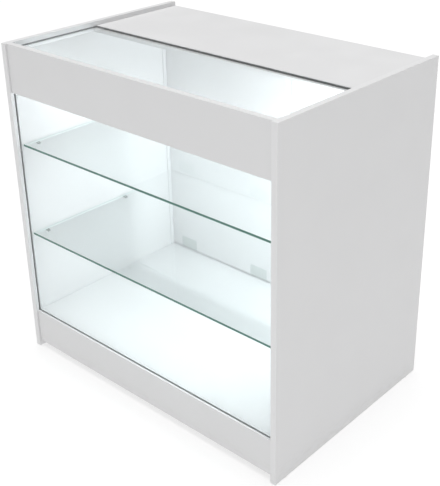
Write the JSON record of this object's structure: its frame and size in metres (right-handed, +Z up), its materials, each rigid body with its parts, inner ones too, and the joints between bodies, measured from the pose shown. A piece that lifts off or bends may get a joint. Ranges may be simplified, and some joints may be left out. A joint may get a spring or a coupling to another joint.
{
  "type": "shop display counter",
  "caption": "Free-standing white shop counter with a glass front and half glass top, two glass shelves and sliding doors at the back.",
  "frame": {"origin": "middle of the footprint on the floor", "axes": "+X to the customer's right, +Y from the glass front towards the keeper's side with the doors, +Z up"},
  "size_m": [0.9, 0.6, 0.9],
  "materials": {
    "white_board": "chipboard with a satin white melamine facing and white edge band",
    "clear_glass": "clear float glass with ground edges that look green end-on",
    "track_aluminium": "satin anodised extrusion",
    "white_plastic": "moulded, fine satin",
    "wheel_plastic": "moulded acetal",
    "clear_plastic": "translucent moulded",
    "soft_pad": "soft clear PVC",
    "bright_steel": "bright zinc plated",
    "cast_zinc": "die-cast zinc",
    "beech": "fluted beech",
    "glide_plastic": "moulded, worn flat",
    "chrome": "bright plated",
    "brass": "nickel-washed brass"
  },
  "bodies": {
    "case": {"base_panel": "white_board", "bottom_track": "track_aluminium", "bracket_screws": "bright_steel", "cam_bolts": "bright_steel", "cam_caps": "white_plastic", "cam_locks": "cast_zinc", "dowels": "beech", "floor_glides": "glide_plastic", "front_fascia": "white_board", "front_glass": "clear_glass", "front_plinth": "white_board", "left_jamb_bead": "white_plastic", "left_side_panel": "white_board", "lower_shelf": "clear_glass", "lower_shelf_pads": "soft_pad", "lower_shelf_pins": "clear_plastic", "plinth_brackets": "white_plastic", "rear_plinth": "white_board", "right_jamb_bead": "white_plastic", "right_side_panel": "white_board", "top_board": "white_board", "top_glass": "clear_glass", "top_track": "track_aluminium", "track_screws": "bright_steel", "upper_shelf": "clear_glass", "upper_shelf_pads": "soft_pad", "upper_shelf_pins": "clear_plastic"},
    "left_door": {"left_door": "white_board", "left_door_axles": "bright_steel", "left_door_finger_cup": "white_plastic", "left_door_meeting_guide_housing": "white_plastic", "left_door_meeting_guide_spring": "bright_steel", "left_door_meeting_roller_housing": "white_plastic", "left_door_outer_guide_housing": "white_plastic", "left_door_outer_guide_spring": "bright_steel", "left_door_outer_roller_housing": "white_plastic", "left_door_screws": "bright_steel", "lock_socket": "chrome"},
    "right_door": {"right_door": "white_board", "right_door_axles": "bright_steel", "right_door_finger_cup": "white_plastic", "right_door_meeting_guide_housing": "white_plastic", "right_door_meeting_guide_spring": "bright_steel", "right_door_meeting_roller_housing": "white_plastic", "right_door_outer_guide_housing": "white_plastic", "right_door_outer_guide_spring": "bright_steel", "right_door_outer_roller_housing": "white_plastic", "right_door_screws": "bright_steel", "lock_body": "chrome"},
    "left_door_outer_wheel": {"left_door_outer_wheel": "wheel_plastic"},
    "left_door_outer_guide_pin": {"left_door_outer_guide_pin": "wheel_plastic"},
    "left_door_meeting_wheel": {"left_door_meeting_wheel": "wheel_plastic"},
    "left_door_meeting_guide_pin": {"left_door_meeting_guide_pin": "wheel_plastic"},
    "right_door_outer_wheel": {"right_door_outer_wheel": "wheel_plastic"},
    "right_door_outer_guide_pin": {"right_door_outer_guide_pin": "wheel_plastic"},
    "right_door_meeting_wheel": {"right_door_meeting_wheel": "wheel_plastic"},
    "right_door_meeting_guide_pin": {"right_door_meeting_guide_pin": "wheel_plastic"},
    "lock_plunger": {"lock_plunger": "chrome"},
    "lock_core": {"lock_core": "brass"}
  },
  "joints": [
    {"name": "left_door_slide", "type": "slide", "parent": "case", "child": "left_door", "axis": [1, 0, 0], "range_m": [0, 0.4]},
    {"name": "right_door_slide", "type": "slide", "parent": "case", "child": "right_door", "axis": [1, 0, 0], "range_m": [-0.4, 0]},
    {"name": "left_door_outer_wheel_turn", "type": "hinge", "parent": "left_door", "child": "left_door_outer_wheel", "pos_m": [-0.362, 0.258, 0.1309], "axis": [0, 1, 0], "range_deg": [0, 3056.8]},
    {"name": "left_door_meeting_wheel_turn", "type": "hinge", "parent": "left_door", "child": "left_door_meeting_wheel", "pos_m": [-0.072, 0.258, 0.1309], "axis": [0, 1, 0], "range_deg": [0, 3056.8]},
    {"name": "right_door_outer_wheel_turn", "type": "hinge", "parent": "right_door", "child": "right_door_outer_wheel", "pos_m": [0.362, 0.278, 0.1309], "axis": [0, 1, 0], "range_deg": [-3056.8, 0]},
    {"name": "right_door_meeting_wheel_turn", "type": "hinge", "parent": "right_door", "child": "right_door_meeting_wheel", "pos_m": [0.072, 0.278, 0.1309], "axis": [0, 1, 0], "range_deg": [-3056.8, 0]},
    {"name": "left_door_outer_guide_pull", "type": "slide", "parent": "left_door", "child": "left_door_outer_guide_pin", "axis": [0, 0, -1], "range_m": [0, 0.006], "stiffness_N_per_m": 100, "springref_m": -0.004, "deforming": ["left_door_outer_guide_spring"]},
    {"name": "left_door_meeting_guide_pull", "type": "slide", "parent": "left_door", "child": "left_door_meeting_guide_pin", "axis": [0, 0, -1], "range_m": [0, 0.006], "stiffness_N_per_m": 100, "springref_m": -0.004, "deforming": ["left_door_meeting_guide_spring"]},
    {"name": "right_door_outer_guide_pull", "type": "slide", "parent": "right_door", "child": "right_door_outer_guide_pin", "axis": [0, 0, -1], "range_m": [0, 0.006], "stiffness_N_per_m": 100, "springref_m": -0.004, "deforming": ["right_door_outer_guide_spring"]},
    {"name": "right_door_meeting_guide_pull", "type": "slide", "parent": "right_door", "child": "right_door_meeting_guide_pin", "axis": [0, 0, -1], "range_m": [0, 0.006], "stiffness_N_per_m": 100, "springref_m": -0.004, "deforming": ["right_door_meeting_guide_spring"]},
    {"name": "lock_push", "type": "slide", "parent": "right_door", "child": "lock_plunger", "axis": [0, -1, 0], "range_m": [0, 0.0034], "stiffness_N_per_m": 150, "springref_m": -0.003},
    {"name": "lock_turn", "type": "hinge", "parent": "lock_plunger", "child": "lock_core", "pos_m": [-0.015, 0.29, 0.495], "axis": [0, 1, 0], "range_deg": [0, 90]}
  ],
  "couplings": [
    {"joint": "left_door_outer_wheel_turn", "follows": "left_door_slide", "rad_per_m": 133.33},
    {"joint": "left_door_meeting_wheel_turn", "follows": "left_door_slide", "rad_per_m": 133.33},
    {"joint": "right_door_outer_wheel_turn", "follows": "right_door_slide", "rad_per_m": 133.33},
    {"joint": "right_door_meeting_wheel_turn", "follows": "right_door_slide", "rad_per_m": 133.33}
  ]
}
